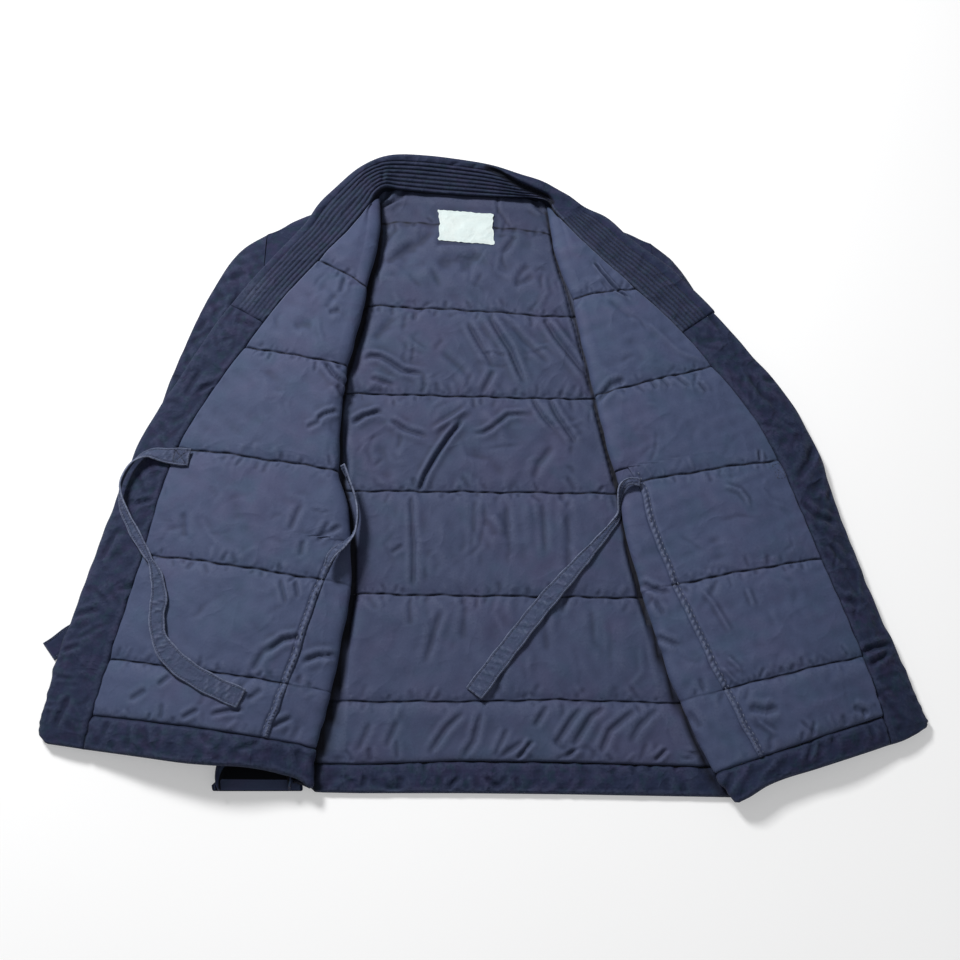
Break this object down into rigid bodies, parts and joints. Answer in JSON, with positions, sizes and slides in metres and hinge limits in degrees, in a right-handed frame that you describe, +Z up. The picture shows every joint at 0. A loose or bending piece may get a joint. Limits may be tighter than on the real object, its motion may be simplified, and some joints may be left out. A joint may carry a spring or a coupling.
{
  "type": "quilted kimono jacket, lying opened out",
  "caption": "Padded kimono-style jacket lying on its back with both fronts turned outwards, quilted lining up, stitched collar and cloth ties.",
  "frame": {"origin": "middle of the jacket's bounding box, on the surface that it lies on", "axes": "+X towards the wearer's left, +Y from the hem to the collar, +Z up from the surface"},
  "size_m": [0.8534, 0.728, 0.0404],
  "materials": {
    "lining": "smooth slate-indigo cotton lining, softly quilted over padding",
    "shell": "dark indigo plain-weave cotton, slightly mottled",
    "tie": "slate-indigo cotton strap, edge-stitched, edges worn paler",
    "label": "blank off-white woven label"
  },
  "bodies": {
    "root": {"back_shell": "shell", "back_lining": "lining", "back_side_right": "lining", "back_side_left": "lining", "front_right_lining": "lining", "front_right_shell": "shell", "front_left_lining": "lining", "front_left_shell": "shell", "sleeve_right_upper": "shell", "sleeve_right_lower": "shell", "sleeve_left": "shell", "collar": "shell", "band_right": "shell", "band_left": "shell", "hem_right": "shell", "hem_back": "shell", "hem_left": "shell", "label": "label", "tie_front_right": "tie", "tie_side_right": "tie", "tie_side_left": "tie", "tie_outer_right": "shell"}
  },
  "joints": []
}
